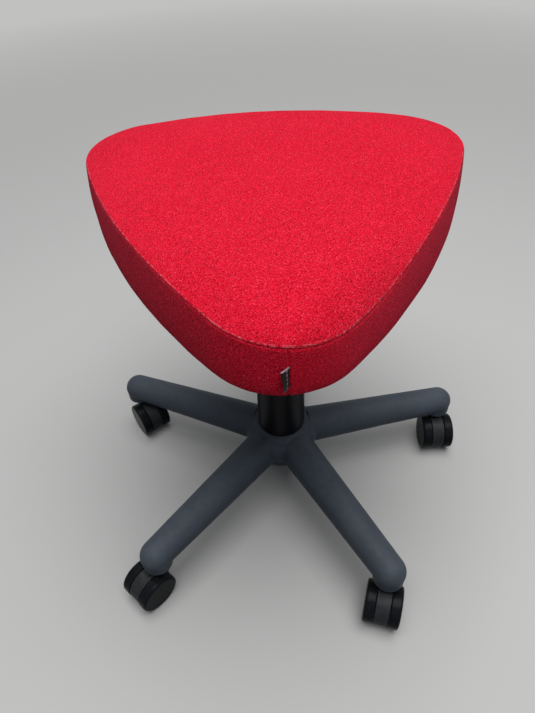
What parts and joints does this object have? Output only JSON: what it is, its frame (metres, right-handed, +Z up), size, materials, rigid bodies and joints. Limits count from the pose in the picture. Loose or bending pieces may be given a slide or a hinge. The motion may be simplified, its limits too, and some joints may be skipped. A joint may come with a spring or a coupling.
{
  "type": "rolling stool",
  "caption": "Low rolling stool: rounded triangular fabric seat on a height-adjustable gas lift, star base with legs and twin-wheel casters.",
  "frame": {"origin": "on the floor under the column's axis, where the five casters stand", "axes": "+Z up along the column; one seat tip points along -Y, so +Y is the straight rear side; +X to the right of someone looking along +Y"},
  "size_m": [0.4874, 0.5062, 0.47],
  "materials": {
    "base_nylon": "matte",
    "cover_plastic": "satin",
    "stem_steel": "satin",
    "spring_steel": "satin",
    "bearing_steel": "polished",
    "zinc_steel": "satin",
    "rod_chrome": "polished",
    "lift_paint": "satin",
    "plate_paint": "satin",
    "bolt_black": "satin",
    "bush_plastic": "satin",
    "cage_plastic": "satin",
    "bump_rubber": "matte",
    "plywood": "matte",
    "foam": "matte",
    "seat_wool": "matte",
    "lining_cloth": "matte",
    "tag_cloth": "satin",
    "grip_plastic": "satin",
    "hood_plastic": "satin",
    "wheel_nylon": "gloss",
    "axle_steel": "satin"
  },
  "bodies": {
    "base": {"base_star": "base_nylon", "caster_stems": "stem_steel", "grip_rings": "spring_steel", "lift_tube": "lift_paint", "guide_bush": "bush_plastic", "race_lower": "bearing_steel", "bearing_balls": "bearing_steel", "bearing_cage": "cage_plastic", "lower_cover": "cover_plastic"},
    "rod": {"piston_rod": "rod_chrome", "rod_piston": "bearing_steel", "race_upper": "bearing_steel", "bump_stop": "bump_rubber", "rod_end_washer": "zinc_steel", "rod_end_clip": "spring_steel"},
    "seat": {"lift_cylinder": "lift_paint", "cylinder_gland": "bush_plastic", "upper_cover": "cover_plastic", "lift_socket": "plate_paint", "mechanism_plate": "plate_paint", "pivot_pin": "zinc_steel", "pivot_clips": "spring_steel", "plate_bolts": "bolt_black", "plate_washers": "zinc_steel", "tee_nuts": "zinc_steel", "seat_board": "plywood", "seat_foam": "foam", "seat_cover": "seat_wool", "underside_lining": "lining_cloth", "lining_staples": "zinc_steel", "seat_tag": "tag_cloth"},
    "lever": {"height_lever": "plate_paint", "lever_grip": "grip_plastic"},
    "pin": {"release_pin": "bearing_steel"},
    "caster_1": {"caster_hood_1": "hood_plastic", "caster_axle_1": "axle_steel"},
    "wheel_left_1": {"caster_wheel_left_1": "wheel_nylon"},
    "wheel_right_1": {"caster_wheel_right_1": "wheel_nylon"},
    "caster_2": {"caster_hood_2": "hood_plastic", "caster_axle_2": "axle_steel"},
    "wheel_left_2": {"caster_wheel_left_2": "wheel_nylon"},
    "wheel_right_2": {"caster_wheel_right_2": "wheel_nylon"},
    "caster_3": {"caster_hood_3": "hood_plastic", "caster_axle_3": "axle_steel"},
    "wheel_left_3": {"caster_wheel_left_3": "wheel_nylon"},
    "wheel_right_3": {"caster_wheel_right_3": "wheel_nylon"},
    "caster_4": {"caster_hood_4": "hood_plastic", "caster_axle_4": "axle_steel"},
    "wheel_left_4": {"caster_wheel_left_4": "wheel_nylon"},
    "wheel_right_4": {"caster_wheel_right_4": "wheel_nylon"},
    "caster_5": {"caster_hood_5": "hood_plastic", "caster_axle_5": "axle_steel"},
    "wheel_left_5": {"caster_wheel_left_5": "wheel_nylon"},
    "wheel_right_5": {"caster_wheel_right_5": "wheel_nylon"}
  },
  "joints": [
    {"name": "seat_swivel", "type": "hinge", "parent": "base", "child": "rod", "pos_m": [0, 0, 0.058], "axis": [0, 0, 1], "continuous": true},
    {"name": "height_slide", "type": "slide", "parent": "rod", "child": "seat", "axis": [0, 0, 1], "range_m": [-0.06, 0.06]},
    {"name": "lever_lift", "type": "hinge", "parent": "seat", "child": "lever", "pos_m": [0.02858, 0.0165, 0.3845], "axis": [0.5, -0.866, 0], "range_deg": [0, 6], "stiffness_Nm_per_rad": 1, "springref_deg": -5.73},
    {"name": "release_pin_press", "type": "slide", "parent": "seat", "child": "pin", "axis": [0, 0, -1], "range_m": [0, 0.0036]},
    {"name": "caster_swivel_1", "type": "hinge", "parent": "base", "child": "caster_1", "pos_m": [0.11889, -0.20386, 0.06], "axis": [0, 0, 1], "continuous": true},
    {"name": "wheel_turn_left_1", "type": "hinge", "parent": "caster_1", "child": "wheel_left_1", "pos_m": [0.11304, -0.22299, 0.025], "axis": [0.9563, -0.2924, 0], "continuous": true},
    {"name": "wheel_turn_right_1", "type": "hinge", "parent": "caster_1", "child": "wheel_right_1", "pos_m": [0.11304, -0.22299, 0.025], "axis": [0.9563, -0.2924, 0], "continuous": true},
    {"name": "caster_swivel_2", "type": "hinge", "parent": "base", "child": "caster_2", "pos_m": [0.23063, 0.05007, 0.06], "axis": [0, 0, 1], "continuous": true},
    {"name": "wheel_turn_left_2", "type": "hinge", "parent": "caster_2", "child": "wheel_left_2", "pos_m": [0.23063, 0.03007, 0.025], "axis": [1, 0, 0], "continuous": true},
    {"name": "wheel_turn_right_2", "type": "hinge", "parent": "caster_2", "child": "wheel_right_2", "pos_m": [0.23063, 0.03007, 0.025], "axis": [1, 0, 0], "continuous": true},
    {"name": "caster_swivel_3", "type": "hinge", "parent": "base", "child": "caster_3", "pos_m": [0.02364, 0.23481, 0.06], "axis": [0, 0, 1], "continuous": true},
    {"name": "wheel_turn_left_3", "type": "hinge", "parent": "caster_3", "child": "wheel_left_3", "pos_m": [0.0365, 0.21949, 0.025], "axis": [0.766, 0.6428, 0], "continuous": true},
    {"name": "wheel_turn_right_3", "type": "hinge", "parent": "caster_3", "child": "wheel_right_3", "pos_m": [0.0365, 0.21949, 0.025], "axis": [0.766, 0.6428, 0], "continuous": true},
    {"name": "caster_swivel_4", "type": "hinge", "parent": "base", "child": "caster_4", "pos_m": [-0.21601, 0.09505, 0.06], "axis": [0, 0, 1], "continuous": true},
    {"name": "wheel_turn_left_4", "type": "hinge", "parent": "caster_4", "child": "wheel_left_4", "pos_m": [-0.20454, 0.07866, 0.025], "axis": [0.8192, 0.5736, 0], "continuous": true},
    {"name": "wheel_turn_right_4", "type": "hinge", "parent": "caster_4", "child": "wheel_right_4", "pos_m": [-0.20454, 0.07866, 0.025], "axis": [0.8192, 0.5736, 0], "continuous": true},
    {"name": "caster_swivel_5", "type": "hinge", "parent": "base", "child": "caster_5", "pos_m": [-0.15715, -0.17607, 0.06], "axis": [0, 0, 1], "continuous": true},
    {"name": "wheel_turn_left_5", "type": "hinge", "parent": "caster_5", "child": "wheel_left_5", "pos_m": [-0.17079, -0.1907, 0.025], "axis": [0.7314, -0.682, 0], "continuous": true},
    {"name": "wheel_turn_right_5", "type": "hinge", "parent": "caster_5", "child": "wheel_right_5", "pos_m": [-0.17079, -0.1907, 0.025], "axis": [0.7314, -0.682, 0], "continuous": true}
  ],
  "couplings": [
    {"joint": "release_pin_press", "follows": "lever_lift", "m_per_rad": 0.0335}
  ]
}
